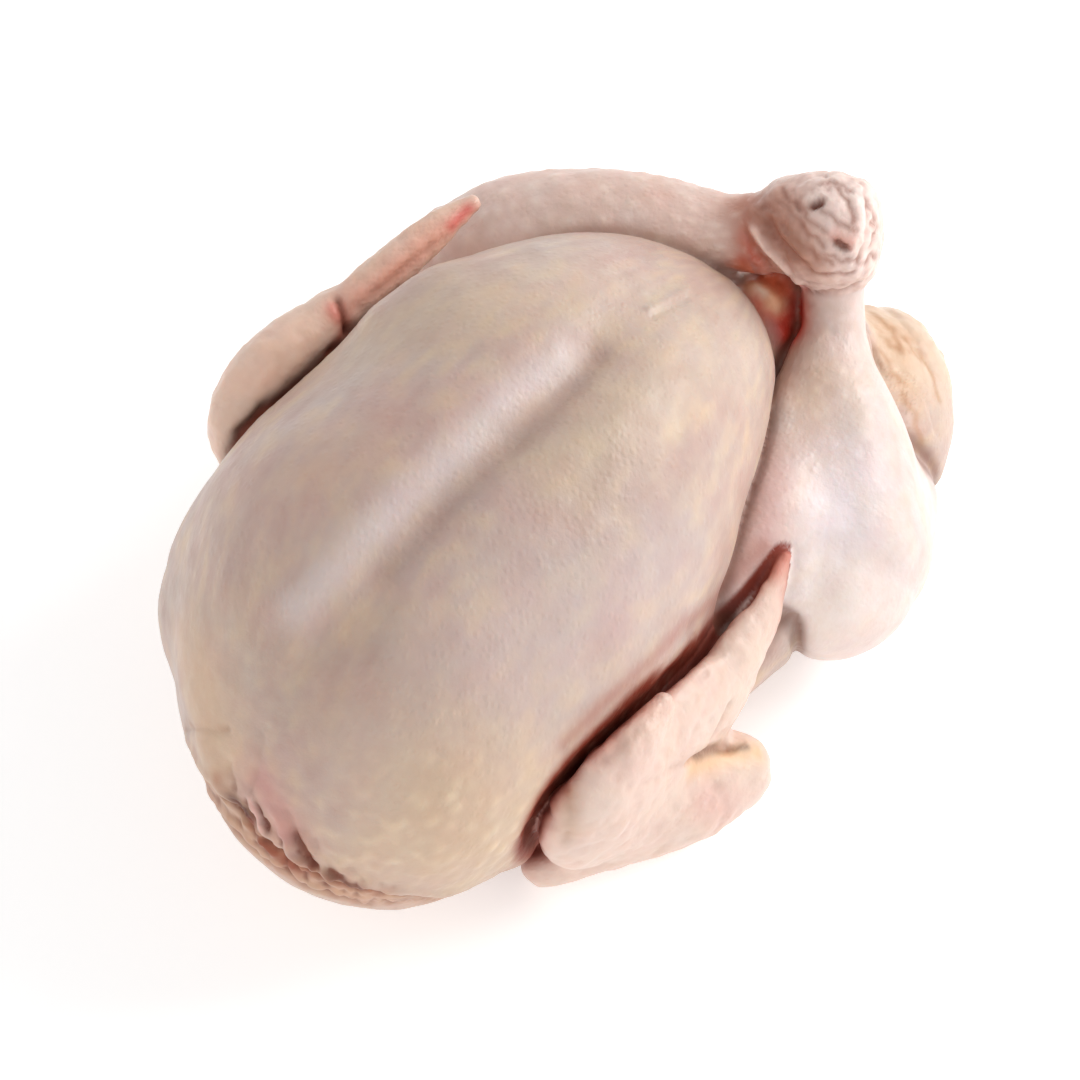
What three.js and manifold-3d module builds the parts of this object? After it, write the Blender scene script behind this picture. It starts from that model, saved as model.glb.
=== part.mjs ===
// Whole raw bird, breast up, plucked, drawn and trussed by tucking the hocks together.
// Millimetres. +Z is up (breast), -Y is the neck end, +Y is the tail and hock end,
// +X is the bird's own right side. Origin: middle of the box on the resting plane.
import * as THREE from 'three';
import { ParametricGeometry } from 'three/addons/geometries/ParametricGeometry.js';
import { mergeVertices } from 'three/addons/utils/BufferGeometryUtils.js';
import Module from 'manifold-3d';

// ---- driving sizes -------------------------------------------------------
const SCALE = 0.9;           // station tables below are drawn at 1/SCALE of real size
const REST_CUT = 0;          // height of the flat resting face in the tables
const BREAST_ROUND_NECK = 3.9; // how blunt the neck end of the breast is
const BREAST_ROUND_TAIL = 3.4; // how blunt the tail end of the breast is
const GROOVE_WIDTH = 0.15;   // half-angle of the keel groove, radians
const GROOVE_TURN = 0.12;    // how far the groove lies to the bird's right of the top line, radians
const CAP_SHARE = 0.18;      // share of a limb's length given to each rounded end
const CLEAN = 0.3;           // slivers thinner than this are merged into their neighbours

// Depth of the groove between the two breast lobes, as a share of the radius: [y, depth]
const GROOVE = [[-196, 0], [-160, 0.03], [-130, 0.055], [-70, 0.07], [0, 0.068], [35, 0.04], [70, 0.01], [120, 0]];

// How much flatter the slope of the left lobe is: [y, drop of the section exponent]
const SLOPE = [[-196, 0], [-120, 0.25], [-50, 0.65], [0, 0.2], [50, 0], [90, 0], [122, 0]];

// Breast and back sections: [y, centre x, half width, middle z, top z, bottom z, section exponent, roll in degrees]
const BREAST = [
  [-196, 12, 76, 70, 140, 18, 2.2, 4],
  [-150, 0, 94, 76, 164, 4, 2.25, 5],
  [-100, -13, 102, 84, 181, 0, 2.3, 6],
  [-50, -17, 104, 90, 190, 0, 2.35, 6],
  [0, -20, 97, 94, 192, 2, 2.35, 6],
  [50, -24, 83, 100, 186, 16, 2.3, 5],
  [90, -25, 74, 108, 176, 40, 2.2, 4],
  [122, -22, 68, 114, 168, 56, 2.1, 4],
];
const BACK = [
  [-170, 9, 84, 44, 90, 0, 2.4, 0],
  [-60, -7, 97, 46, 92, -4, 2.5, 0],
  [40, -6, 96, 46, 92, -4, 2.5, 0],
  [100, 0, 90, 44, 86, -4, 2.4, 0],
  [150, 8, 80, 42, 84, -2, 2.3, 0],
  [185, 14, 70, 42, 80, 2, 2.2, 0],
  [208, 16, 60, 40, 72, 6, 2.1, 0],
];

// Limbs: stations [x, y, z, half width, half thickness], side direction of the width,
// segments around and along, and how round the two ends are.
const LIMBS = {
  drumstickRight: { at: [[76, 78, 48, 39, 39], [69, 91, 56, 42, 42], [52, 111, 74, 36, 35], [29, 130, 94, 25, 24], [18, 144, 110, 14, 14], [9, 153, 124, 13, 13]], side: [0.6, -0.3, 0.8], n: [20, 22], ends: [0.85, 1] },
  thighRight: { at: [[56, 128, 38, 36, 34], [68, 103, 40, 39, 37], [76, 80, 44, 34, 33]], side: [0.5, 0, 1], n: [18, 14], ends: [1, 1] },
  flankRight: { at: [[52, 30, 66, 34, 34], [50, 62, 70, 38, 36], [34, 96, 78, 30, 30]], side: [0.5, 0, 1], n: [18, 14], ends: [1, 1] },
  drumstickLeft: { at: [[-124, 66, 96, 34, 35], [-106, 82, 110, 37, 36], [-82, 99, 124, 33, 32], [-55, 117, 134, 25, 24], [-32, 131, 141, 17, 17], [-16, 141, 144, 16, 15]], side: [-0.5, -0.4, 0.8], n: [20, 22], ends: [1, 1] },
  thighLeft: { at: [[-62, 128, 40, 34, 34], [-92, 100, 58, 40, 38], [-116, 72, 82, 34, 32]], side: [-0.5, 0, 1], n: [18, 14], ends: [1, 1] },
  flankLeft: { at: [[-84, 82, 82, 32, 30], [-60, 104, 92, 30, 30], [-34, 120, 96, 30, 28]], side: [1, 0.3, 0], n: [18, 12], ends: [1, 1] },
  hockLeft: { at: [[-16, 141, 145, 18, 17], [-7, 148, 150, 23, 22], [6, 153, 153, 26, 23], [16, 158, 155, 24, 21]], side: [0, 0, 1], n: [20, 14], ends: [1, 0.45] },
  hockRight: { at: [[16, 146, 114, 13, 13], [9, 153, 126, 13, 13], [5, 158, 136, 14, 13]], side: [1, 0, 0], n: [18, 12], ends: [1, 0.5] },
  abdomen: { at: [[-30, 94, 94, 38, 36], [-20, 118, 82, 36, 32], [-4, 150, 79, 36, 28]], side: [1, 0.3, 0], n: [18, 12], ends: [1, 1] },
  tail: { at: [[14, 172, 46, 41, 29], [17, 188, 49, 34, 26], [20, 198, 50, 26, 20]], side: [1, 0, 0], n: [20, 12], ends: [1, 0.6] },
  handRight: { at: [[91, -92, 52, 31, 14], [95, -78, 60, 38, 15], [93, -45, 60, 34, 14], [90, -10, 61, 27, 12], [87, 8, 67, 21, 11], [84, 27, 77, 15, 8], [79, 45, 93, 5, 4]], side: [0, -0.28, 0.96], n: [14, 20], ends: [0.8, 0.8] },
  thumbRight: { at: [[96, -92, 74, 10, 9], [98, -70, 91, 10, 8], [95, -48, 97, 5, 5]], side: [0, -0.28, 0.96], n: [10, 12], ends: [1, 1] },
  forearmRight: { at: [[76, -93, 15, 13, 12], [88, -61, 18, 19, 18], [99, -32, 19, 20, 19], [104, -10, 17, 16, 14]], side: [0.5, 0.2, 0.8], n: [16, 16], ends: [1, 0.7] },
  upperRight: { at: [[80, -80, 44, 24, 22], [92, -50, 34, 22, 20], [104, -12, 24, 17, 16]], side: [0.5, 0.2, 0.8], n: [14, 12], ends: [1, 1] },
  handLeft: { at: [[-123, -68, 108, 20, 13], [-127, -46, 118, 20, 14], [-123, -22, 127, 14, 10], [-120, 3, 140, 11, 9], [-116, 31, 151, 9, 8], [-111, 55, 159, 4, 4]], side: [0.35, 0.2, -0.85], n: [14, 20], ends: [1, 0.8] },
  thumbLeft: { at: [[-130, -62, 116, 14, 12], [-132, -38, 126, 13, 11], [-129, -14, 134, 7, 7]], side: [-0.55, 0.3, -0.8], n: [10, 12], ends: [1, 1] },
  forearmLeft: { at: [[-126, -68, 100, 18, 16], [-131, -50, 84, 21, 18], [-135, -20, 62, 21, 19], [-132, 6, 50, 18, 17]], side: [-0.5, 0.2, 0.8], n: [14, 16], ends: [1, 1] },
  upperLeft: { at: [[-92, -90, 70, 26, 24], [-112, -56, 62, 28, 26], [-122, -6, 52, 22, 20]], side: [-0.5, 0.2, 0.8], n: [14, 12], ends: [1, 1] },
  vent: { at: [[-18, 128, 108, 14, 14], [-12, 140, 110, 15, 15], [-2, 146, 102, 15, 15]], side: [1, 0.3, 0], n: [16, 12], ends: [1, 1] },
  shoulderLeft: { at: [[-74, -122, 74, 32, 34], [-79, -104, 80, 36, 36], [-80, -84, 86, 34, 36]], side: [-1, 0, 0], n: [18, 14], ends: [1, 1] },
};

// ---- curves --------------------------------------------------------------
// Values of a table with unequal first-column steps, eased through every row.
function tableAt(rows, x) {
  const last = rows.length - 1;
  x = Math.min(Math.max(x, rows[0][0]), rows[last][0]);
  let i = 0;
  while (i < last - 1 && x >= rows[i + 1][0]) i++;
  const slope = (a, b, k) => (rows[b][k] - rows[a][k]) / (rows[b][0] - rows[a][0]);
  const h = rows[i + 1][0] - rows[i][0], w = (x - rows[i][0]) / h, out = [];
  for (let k = 1; k < rows[0].length; k++) {
    const m0 = i === 0 ? slope(0, 1, k) : slope(i - 1, i + 1, k);
    const m1 = i + 1 === last ? slope(last - 1, last, k) : slope(i, i + 2, k);
    out.push((1 + 2 * w) * (1 - w) ** 2 * rows[i][k] + w * (1 - w) ** 2 * h * m0
      + w * w * (3 - 2 * w) * rows[i + 1][k] + w * w * (w - 1) * h * m1);
  }
  return out;
}

// Centre line and half sizes of a limb, each an even curve through its stations.
function limbCurves(stations) {
  const line = new THREE.CatmullRomCurve3(stations.map(s => new THREE.Vector3(s[0], s[1], s[2])), false, 'catmullrom', 0.5);
  const size = new THREE.CatmullRomCurve3(stations.map(s => new THREE.Vector3(s[3], s[4], 0)), false, 'catmullrom', 0.5);
  return { line, size };
}

// ---- surfaces ------------------------------------------------------------
function trunkSurface(rows, y0, y1, bluntNeck, bluntTail, groove) {
  return (u, v, target) => {
    const s = -Math.cos(Math.PI * v);
    const y = y0 + (y1 - y0) * (s + 1) / 2;
    const close = Math.pow(Math.max(1 - Math.pow(Math.abs(s), s < 0 ? bluntNeck : bluntTail), 0), 1 / 2.2);
    const [cx, halfW, zm, zt, zb, n, roll] = tableAt(rows, y);
    const a = u * 2 * Math.PI, sn = Math.sin(a), cs = Math.cos(a);
    const halfH = cs > 0 ? zt - zm : zm - zb;
    const e = groove && sn < 0 && cs > 0 ? n - tableAt(SLOPE, y)[0] : n;
    let r = Math.pow(Math.pow(Math.abs(sn / halfW), e) + Math.pow(Math.abs(cs / halfH), e), -1 / e) * close;
    if (groove) {
      const off = a > Math.PI ? a - 2 * Math.PI : a;
      r *= 1 - tableAt(groove, y)[0] * Math.exp(-(((off - GROOVE_TURN) / GROOVE_WIDTH) ** 2));
    }
    const t = THREE.MathUtils.degToRad(roll), c = Math.cos(t), d = Math.sin(t);
    target.set(cx + r * sn * c + r * cs * d, y, zm - r * sn * d + r * cs * c);
  };
}

function limbSurface({ at, side, ends }) {
  const { line, size } = limbCurves(at);
  const ref = new THREE.Vector3(...side);
  const p = new THREE.Vector3(), q = new THREE.Vector3(), T = new THREE.Vector3(), A = new THREE.Vector3(), B = new THREE.Vector3();
  return (u, v, target) => {
    const t = THREE.MathUtils.clamp((v - CAP_SHARE) / (1 - 2 * CAP_SHARE), 0, 1);
    T.copy(line.getPoint(Math.min(t + 1e-3, 1))).sub(line.getPoint(Math.max(t - 1e-3, 0))).normalize();
    A.copy(ref).addScaledVector(T, -ref.dot(T)).normalize();
    B.crossVectors(T, A);
    line.getPoint(t, p); size.getPoint(t, q);
    const e0 = THREE.MathUtils.clamp(v / CAP_SHARE, 0, 1) * Math.PI / 2;
    const e1 = THREE.MathUtils.clamp((1 - v) / CAP_SHARE, 0, 1) * Math.PI / 2;
    const k = Math.sin(e0) * Math.sin(e1), rm = 0.5 * (q.x + q.y);
    const a = u * 2 * Math.PI;
    target.copy(p)
      .addScaledVector(T, (-Math.cos(e0) * ends[0] + Math.cos(e1) * ends[1]) * rm)
      .addScaledVector(A, q.x * k * Math.cos(a))
      .addScaledVector(B, q.y * k * Math.sin(a));
  };
}

// ---- solids --------------------------------------------------------------
const wasm = await Module();
wasm.setup();

// Closed solid from a three.js geometry: shared vertices, no collapsed faces, faces outward.
function toSolid(geometry) {
  const g = geometry.clone();
  g.deleteAttribute('normal');
  g.deleteAttribute('uv');
  const m = mergeVertices(g, 1e-4);
  const ix = m.index.array, pos = m.attributes.position.array, tris = [];
  for (let i = 0; i < ix.length; i += 3) {
    const [a, b, c] = [ix[i], ix[i + 1], ix[i + 2]];
    if (a !== b && b !== c && c !== a) tris.push(a, b, c);
  }
  let volume = 0;
  const V = i => new THREE.Vector3(pos[3 * i], pos[3 * i + 1], pos[3 * i + 2]);
  for (let i = 0; i < tris.length; i += 3) volume += V(tris[i]).dot(V(tris[i + 1]).cross(V(tris[i + 2])));
  if (volume < 0) for (let i = 0; i < tris.length; i += 3) [tris[i + 1], tris[i + 2]] = [tris[i + 2], tris[i + 1]];
  return new wasm.Manifold(new wasm.Mesh({ numProp: 3, vertProperties: new Float32Array(pos), triVerts: new Uint32Array(tris) }));
}

function toGeometry(solid) {
  const mesh = solid.getMesh();
  const xyz = new Float32Array(mesh.numVert * 3);
  for (let i = 0; i < mesh.numVert; i++) for (let k = 0; k < 3; k++) xyz[3 * i + k] = mesh.vertProperties[i * mesh.numProp + k];
  const g = new THREE.BufferGeometry();
  g.setAttribute('position', new THREE.BufferAttribute(xyz, 3));
  g.setIndex(new THREE.BufferAttribute(new Uint32Array(mesh.triVerts), 1));
  return g;
}

let body = toSolid(new ParametricGeometry(trunkSurface(BREAST, -196, 122, BREAST_ROUND_NECK, BREAST_ROUND_TAIL, GROOVE), 48, 36));
body = body.add(toSolid(new ParametricGeometry(trunkSurface(BACK, -170, 212, 3.0, 3.6, null), 32, 24)));
for (const limb of Object.values(LIMBS)) {
  body = body.add(toSolid(new ParametricGeometry(limbSurface(limb), limb.n[0], limb.n[1])));
}

// The bird is pressed flat where it rests.
const block = new THREE.BoxGeometry(600, 700, 200);
block.translate(0, 0, REST_CUT - 100);
body = body.subtract(toSolid(block)).simplify(CLEAN);

const geometry = toGeometry(body);
geometry.scale(SCALE, SCALE, SCALE);
geometry.computeBoundingBox();
const box = geometry.boundingBox;
geometry.translate(-(box.min.x + box.max.x) / 2, -(box.min.y + box.max.y) / 2, -box.min.z);
geometry.computeVertexNormals();

const turkey = new THREE.Mesh(geometry, new THREE.MeshStandardMaterial({ color: 0xdcc3b4, roughness: 0.45, metalness: 0.0 }));
turkey.name = 'turkey';

const group = new THREE.Group();
group.name = 'whole_raw_turkey';
group.add(turkey);
export default group;
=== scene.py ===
import math

import bpy
import numpy as np
import openvdb as vdb
from mathutils import Matrix, Vector
from mathutils.bvhtree import BVHTree


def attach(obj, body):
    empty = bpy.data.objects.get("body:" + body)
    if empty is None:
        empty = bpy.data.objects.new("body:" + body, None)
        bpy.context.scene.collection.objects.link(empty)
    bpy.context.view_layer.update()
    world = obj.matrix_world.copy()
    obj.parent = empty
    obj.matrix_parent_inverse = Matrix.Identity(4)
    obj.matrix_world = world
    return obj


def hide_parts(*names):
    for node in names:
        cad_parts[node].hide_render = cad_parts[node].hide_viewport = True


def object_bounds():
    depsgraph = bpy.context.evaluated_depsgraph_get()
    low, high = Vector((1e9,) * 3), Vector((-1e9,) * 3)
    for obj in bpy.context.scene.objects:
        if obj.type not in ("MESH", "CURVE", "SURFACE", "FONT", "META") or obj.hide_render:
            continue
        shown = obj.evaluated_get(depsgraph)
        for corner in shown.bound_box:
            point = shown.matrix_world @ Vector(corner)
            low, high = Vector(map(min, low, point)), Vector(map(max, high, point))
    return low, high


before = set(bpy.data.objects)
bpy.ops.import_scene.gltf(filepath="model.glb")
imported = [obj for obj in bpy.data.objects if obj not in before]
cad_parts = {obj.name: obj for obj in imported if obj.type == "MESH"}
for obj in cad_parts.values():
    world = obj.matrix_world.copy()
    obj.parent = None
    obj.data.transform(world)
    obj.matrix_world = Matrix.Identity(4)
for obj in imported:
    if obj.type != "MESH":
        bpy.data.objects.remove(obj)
cad_lo, cad_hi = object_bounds()

# ------------------------------------------------------------------ sizes
K = 0.9            # tables below are drawn at 1/K of real size, in millimetres
VOXEL = 1.3        # grid step of the skin surface, mm
BAND = 10          # half width of the distance band, in grid steps
GROOVE_WIDTH = 0.15  # half angle of the keel groove, radians
GROOVE_TURN = 0.12   # how far the groove lies to the bird's right of the top line, radians
CAP = 0.18         # share of a limb's length given to each rounded end

GROOVE = [[-196, 0.0], [-160, 0.03], [-130, 0.055], [-70, 0.07], [0, 0.068], [35, 0.04], [70, 0.01], [120, 0.0]]
# how much flatter the slope of the left lobe is: [y, drop of the section exponent]
SLOPE = [[-196, 0.0], [-120, 0.25], [-50, 0.65], [0, 0.2], [50, 0.0], [90, 0.0], [122, 0.0]]
BREAST = [[-196, 12, 76, 70, 140, 18, 2.2, 4], [-150, 0, 94, 76, 164, 4, 2.25, 5], [-100, -13, 102, 84, 181, 0, 2.3, 6],
          [-50, -17, 104, 90, 190, 0, 2.35, 6], [0, -20, 97, 94, 192, 2, 2.35, 6], [50, -24, 83, 100, 186, 16, 2.3, 5],
          [90, -25, 74, 108, 176, 40, 2.2, 4], [122, -22, 68, 114, 168, 56, 2.1, 4]]
BACK = [[-170, 9, 84, 44, 90, 0, 2.4, 0], [-60, -7, 97, 46, 92, -4, 2.5, 0], [40, -6, 96, 46, 92, -4, 2.5, 0],
        [100, 0, 90, 44, 86, -4, 2.4, 0], [150, 8, 80, 42, 84, -2, 2.3, 0], [185, 14, 70, 42, 80, 2, 2.2, 0],
        [208, 16, 60, 40, 72, 6, 2.1, 0]]
# name: (stations, side direction, roundness of the two ends)
LIMBS = {
    "drum_R": ([[76, 78, 48, 39, 39], [69, 91, 56, 42, 42], [52, 111, 74, 36, 35], [29, 130, 94, 25, 24], [18, 144, 110, 14, 14], [9, 153, 124, 13, 13]], (0.6, -0.3, 0.8), (0.85, 1)),
    "thigh_R": ([[56, 128, 38, 36, 34], [68, 103, 40, 39, 37], [76, 80, 44, 34, 33]], (0.5, 0, 1), (1, 1)),
    "flank_R": ([[52, 30, 66, 34, 34], [50, 62, 70, 38, 36], [34, 96, 78, 30, 30]], (0.5, 0, 1), (1, 1)),
    "drum_L": ([[-124, 66, 96, 34, 35], [-106, 82, 110, 37, 36], [-82, 99, 124, 33, 32], [-55, 117, 134, 25, 24], [-32, 131, 141, 17, 17], [-16, 141, 144, 16, 15]], (-0.5, -0.4, 0.8), (1, 1)),
    "thigh_L": ([[-62, 128, 40, 34, 34], [-92, 100, 58, 40, 38], [-116, 72, 82, 34, 32]], (-0.5, 0, 1), (1, 1)),
    "flank_L": ([[-84, 82, 82, 32, 30], [-60, 104, 92, 30, 30], [-34, 120, 96, 30, 28]], (1, 0.3, 0), (1, 1)),
    "hock_L": ([[-16, 141, 145, 18, 17], [-7, 148, 150, 23, 22], [6, 153, 153, 26, 23], [16, 158, 155, 24, 21]], (0, 0, 1), (1, 0.45)),
    "hock_R": ([[16, 146, 114, 13, 13], [9, 153, 126, 13, 13], [5, 158, 136, 14, 13]], (1, 0, 0), (1, 0.5)),
    "abdomen": ([[-30, 94, 94, 38, 36], [-20, 118, 82, 36, 32], [-4, 150, 79, 36, 28]], (1, 0.3, 0), (1, 1)),
    "tail": ([[14, 172, 46, 41, 29], [17, 188, 49, 34, 26], [20, 198, 50, 26, 20]], (1, 0, 0), (1, 0.6)),
    "hand_R": ([[91, -92, 52, 31, 14], [95, -78, 60, 38, 15], [93, -45, 60, 34, 14], [90, -10, 61, 27, 12], [87, 8, 67, 21, 11], [84, 27, 77, 15, 8], [79, 45, 93, 5, 4]], (0, -0.28, 0.96), (0.8, 0.8)),
    "thumb_R": ([[96, -92, 74, 10, 9], [98, -70, 91, 10, 8], [95, -48, 97, 5, 5]], (0, -0.28, 0.96), (1, 1)),
    "fore_R": ([[76, -93, 15, 13, 12], [88, -61, 18, 19, 18], [99, -32, 19, 20, 19], [104, -10, 17, 16, 14]], (0.5, 0.2, 0.8), (1, 0.7)),
    "upper_R": ([[80, -80, 44, 24, 22], [92, -50, 34, 22, 20], [104, -12, 24, 17, 16]], (0.5, 0.2, 0.8), (1, 1)),
    "hand_L": ([[-123, -68, 108, 20, 13], [-127, -46, 118, 20, 14], [-123, -22, 127, 14, 10], [-120, 3, 140, 11, 9], [-116, 31, 151, 9, 8], [-111, 55, 159, 4, 4]], (0.35, 0.2, -0.85), (1, 0.8)),
    "thumb_L": ([[-130, -62, 116, 14, 12], [-132, -38, 126, 13, 11], [-129, -14, 134, 7, 7]], (-0.55, 0.3, -0.8), (1, 1)),
    "fore_L": ([[-126, -68, 100, 18, 16], [-131, -50, 84, 21, 18], [-135, -20, 62, 21, 19], [-132, 6, 50, 18, 17]], (-0.5, 0.2, 0.8), (1, 1)),
    "upper_L": ([[-92, -90, 70, 26, 24], [-112, -56, 62, 28, 26], [-122, -6, 52, 22, 20]], (-0.5, 0.2, 0.8), (1, 1)),
    "vent": ([[-18, 128, 108, 14, 14], [-12, 140, 110, 15, 15], [-2, 146, 102, 15, 15]], (1, 0.3, 0), (1, 1)),
    "shoulder_L": ([[-74, -122, 74, 32, 34], [-79, -104, 80, 36, 36], [-80, -84, 86, 34, 36]], (-1, 0, 0), (1, 1)),
}


# ------------------------------------------------------------------ curves and lofts
def catmull(P, t):
    P = np.asarray(P, float)
    t = np.atleast_1d(np.asarray(t, float))
    n = len(P)
    x = np.clip(t, 0, 1) * (n - 1)
    i = np.clip(np.floor(x).astype(int), 0, n - 2)
    w = (x - i)[:, None]
    ext = np.vstack([2 * P[0] - P[1], P, 2 * P[-1] - P[-2]])
    p0, p1, p2, p3 = ext[i], ext[i + 1], ext[i + 2], ext[i + 3]
    t0, t1 = 0.5 * (p2 - p0), 0.5 * (p3 - p1)
    return p1 + t0 * w + (-3 * p1 + 3 * p2 - 2 * t0 - t1) * w**2 + (2 * p1 - 2 * p2 + t0 + t1) * w**3


def table(keys, x):
    k = np.asarray(keys, float)
    xs, v = k[:, 0], k[:, 1:]
    x = np.clip(np.atleast_1d(np.asarray(x, float)), xs[0], xs[-1])
    i = np.clip(np.searchsorted(xs, x, side="right") - 1, 0, len(xs) - 2)
    d = (v[1:] - v[:-1]) / (xs[1:] - xs[:-1])[:, None]
    m = np.zeros_like(v)
    m[0], m[-1] = d[0], d[-1]
    m[1:-1] = (v[2:] - v[:-2]) / (xs[2:] - xs[:-2])[:, None]
    h = (xs[i + 1] - xs[i])[:, None]
    w = ((x - xs[i]) / (xs[i + 1] - xs[i]))[:, None]
    return ((1 + 2 * w) * (1 - w) ** 2 * v[i] + w * (1 - w) ** 2 * h * m[i]
            + w * w * (3 - 2 * w) * v[i + 1] + w * w * (w - 1) * h * m[i + 1])


def closed_grid(fn, nu, nv):
    v = np.linspace(0, 1, nv + 1)[1:-1]
    u = np.arange(nu) / nu
    U, V = np.meshgrid(u, v)
    pts = np.vstack([fn(np.array([0.0]), np.array([0.0])), fn(U.ravel(), V.ravel()), fn(np.array([0.0]), np.array([1.0]))])
    rows = nv - 1
    r = np.arange(rows - 1)[:, None]
    c = np.arange(nu)[None, :]
    a, b = 1 + r * nu + c, 1 + r * nu + (c + 1) % nu
    F = np.concatenate([np.stack([a, b, b + nu], -1).reshape(-1, 3), np.stack([a, b + nu, a + nu], -1).reshape(-1, 3)])
    c = np.arange(nu)
    F = np.vstack([F, np.stack([np.zeros(nu, int), 1 + (c + 1) % nu, 1 + c], -1)])
    last = 1 + (rows - 1) * nu
    F = np.vstack([F, np.stack([np.full(nu, len(pts) - 1), last + c, last + (c + 1) % nu], -1)])
    p0, p1, p2 = pts[F[:, 0]], pts[F[:, 1]], pts[F[:, 2]]
    if np.einsum("ij,ij->i", p0, np.cross(p1, p2)).sum() < 0:
        F = F[:, ::-1]
    return pts, F


def limb(at, side, ends):
    S, ref = np.asarray(at, float), np.asarray(side, float)

    def fn(u, v):
        t = np.clip((v - CAP) / (1 - 2 * CAP), 0, 1)
        q = catmull(S, t)
        T = catmull(S, np.minimum(t + 1e-3, 1))[:, :3] - catmull(S, np.maximum(t - 1e-3, 0))[:, :3]
        T /= np.linalg.norm(T, axis=1)[:, None]
        A = ref - (T @ ref)[:, None] * T
        A /= np.linalg.norm(A, axis=1)[:, None]
        B = np.cross(T, A)
        e0 = np.clip(v / CAP, 0, 1) * math.pi / 2
        e1 = np.clip((1 - v) / CAP, 0, 1) * math.pi / 2
        k = np.sin(e0) * np.sin(e1)
        off = (-np.cos(e0) * ends[0] + np.cos(e1) * ends[1]) * 0.5 * (q[:, 3] + q[:, 4])
        a = u * 2 * math.pi
        return q[:, :3] + T * off[:, None] + A * (q[:, 3] * k * np.cos(a))[:, None] + B * (q[:, 4] * k * np.sin(a))[:, None]

    return closed_grid(fn, 64, 90)


def trunk(keys, y0, y1, m0, m1, groove):
    def fn(u, v):
        s = -np.cos(math.pi * v)
        Y = y0 + (y1 - y0) * (s + 1) / 2
        close = np.maximum(1 - np.abs(s) ** np.where(s < 0, m0, m1), 0) ** (1 / 2.2)
        cx, W, zm, zt, zb, n, roll = table(keys, Y).T
        a = u * 2 * math.pi
        sn, cs = np.sin(a), np.cos(a)
        Hh = np.where(cs > 0, zt - zm, zm - zb)
        if groove is not None:
            n = n - np.where((sn < 0) & (cs > 0), table(SLOPE, Y)[:, 0], 0)
        r = (np.abs(sn / W) ** n + np.abs(cs / Hh) ** n) ** (-1 / n) * close
        if groove is not None:
            off = np.where(a > math.pi, a - 2 * math.pi, a)
            r = r * (1 - table(groove, Y)[:, 0] * np.exp(-(((off - GROOVE_TURN) / GROOVE_WIDTH) ** 2)))
        t = np.radians(roll)
        return np.stack([cx + r * sn * np.cos(t) + r * cs * np.sin(t), Y, zm - r * sn * np.sin(t) + r * cs * np.cos(t)], -1)

    return closed_grid(fn, 180, 160)


parts = {"breast": trunk(BREAST, -196, 122, 3.9, 3.4, GROOVE), "back": trunk(BACK, -170, 212, 3.0, 3.6, None)}
for name, (at, side, ends) in LIMBS.items():
    parts[name] = limb(at, side, ends)
names = list(parts)
every = np.vstack([p for p, f in parts.values()])
mid = (every.min(0) + every.max(0)) / 2
box_mid = (np.array(cad_lo) + np.array(cad_hi)) / 2 * 1000
SHIFT = np.array([box_mid[0] - K * mid[0], box_mid[1] - K * mid[1], 0.0])


def real(p):
    """Table millimetres to real millimetres."""
    return np.asarray(p, float) * K + SHIFT


# ------------------------------------------------------------------ camera: a pinhole at the photograph's angle
AZ, EL, DIST, FPX = math.radians(44), math.radians(51), 1250.0, 2950.0
AIM = (571.0, 548.0)
BACKV = np.array([math.sin(AZ) * math.cos(EL), -math.cos(AZ) * math.cos(EL), math.sin(EL)])
RIGHT = np.array([math.cos(AZ), math.sin(AZ), 0.0])
UP = np.cross(BACKV, RIGHT)
EYE = real(np.array([0, 0, 70.0]) + BACKV * DIST - RIGHT * (AIM[0] - 540) * DIST / FPX + UP * (AIM[1] - 540) * DIST / FPX)

# ------------------------------------------------------------------ distance fields on one grid
lo = np.floor(real(every.min(0)) / VOXEL).astype(int) - BAND - 2
hi = np.ceil(real(every.max(0)) / VOXEL).astype(int) + BAND + 2
lo[2] = -BAND - 3
shape = tuple((hi - lo).tolist())
steps = vdb.createLinearTransform(voxelSize=VOXEL)
field = {}
for name, (p, f) in parts.items():
    g = vdb.FloatGrid.createLevelSetFromPolygons(real(p).astype(np.float32), triangles=f.astype(np.uint32), transform=steps, halfWidth=float(BAND))
    a = np.zeros(shape, np.float32)
    g.copyToArray(a, ijk=tuple(int(x) for x in lo))
    field[name] = a


def join(a, b, k, cut=0.0, w=2.4):
    """Smooth union over k mm, or with cut > 0 a crease cut in along the seam."""
    h = np.maximum(k - np.abs(a - b), 0) / k
    d = np.minimum(a, b) - h * h * k * 0.25
    if np.any(cut):
        d = d + cut * np.exp(-((a - b) / w) ** 2) * np.exp(-((np.minimum(a, b) / 5.0) ** 2))
    return d


trunk_f = join(field["breast"], field["back"], 16)
trunk_f = join(trunk_f, field["shoulder_L"], 12)
trunk_f = join(trunk_f, field["abdomen"], 10)
trunk_f = join(trunk_f, field["tail"], 10)
trunk_f = join(trunk_f, field["vent"], 9)
leg_r = join(join(field["drum_R"], field["thigh_R"], 10), field["flank_R"], 10)
leg_l = join(join(field["drum_L"], field["thigh_L"], 10), field["flank_L"], 10)
wing_r = join(join(join(field["fore_R"], field["upper_R"], 8), field["hand_R"], 6), field["thumb_R"], 7)
wing_l = join(join(join(field["fore_L"], field["upper_L"], 8), field["hand_L"], 6), field["thumb_L"], 6)
whole = join(trunk_f, leg_r, 3, 2.2)
whole = join(whole, leg_l, 3, 1.8)
whole = join(whole, field["hock_R"], 5)
whole = join(whole, field["hock_L"], 8)
cell = [((np.arange(shape[j]) + lo[j]) * VOXEL).astype(np.float32) for j in range(3)]
tip = real((79, 45, 93))
away = np.sqrt((cell[0][:, None, None] - tip[0]) ** 2 + (cell[1][None, :, None] - tip[1]) ** 2 + (cell[2][None, None, :] - tip[2]) ** 2)
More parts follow.
